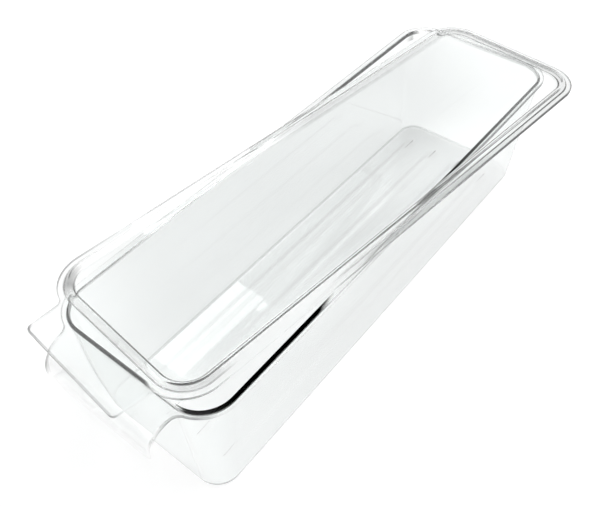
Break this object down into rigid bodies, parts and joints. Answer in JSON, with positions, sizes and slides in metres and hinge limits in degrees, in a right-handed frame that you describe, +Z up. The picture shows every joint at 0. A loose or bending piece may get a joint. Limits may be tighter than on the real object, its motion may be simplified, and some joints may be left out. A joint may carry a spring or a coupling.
{
  "type": "lidded fridge bin",
  "caption": "Long narrow clear plastic fridge bin with a curved front pull, fluted floor, and a loose lift-off lid with a raised bead and a flat tab.",
  "frame": {"origin": "middle of the bin's underside, on the surface that it stands on", "axes": "+X across the bin to the right as seen from the pull, +Y along the bin from the pull to the back, +Z up"},
  "size_m": [0.1398, 0.3696, 0.0901],
  "materials": {
    "clear_plastic": "polished, clear, colourless"
  },
  "bodies": {
    "bin": {"bin": "clear_plastic"},
    "lid": {"lid": "clear_plastic"}
  },
  "joints": [
    {"name": "lid_lift", "type": "slide", "parent": "bin", "child": "lid", "axis": [0, 0, 1], "range_m": [0, 0.12]}
  ]
}
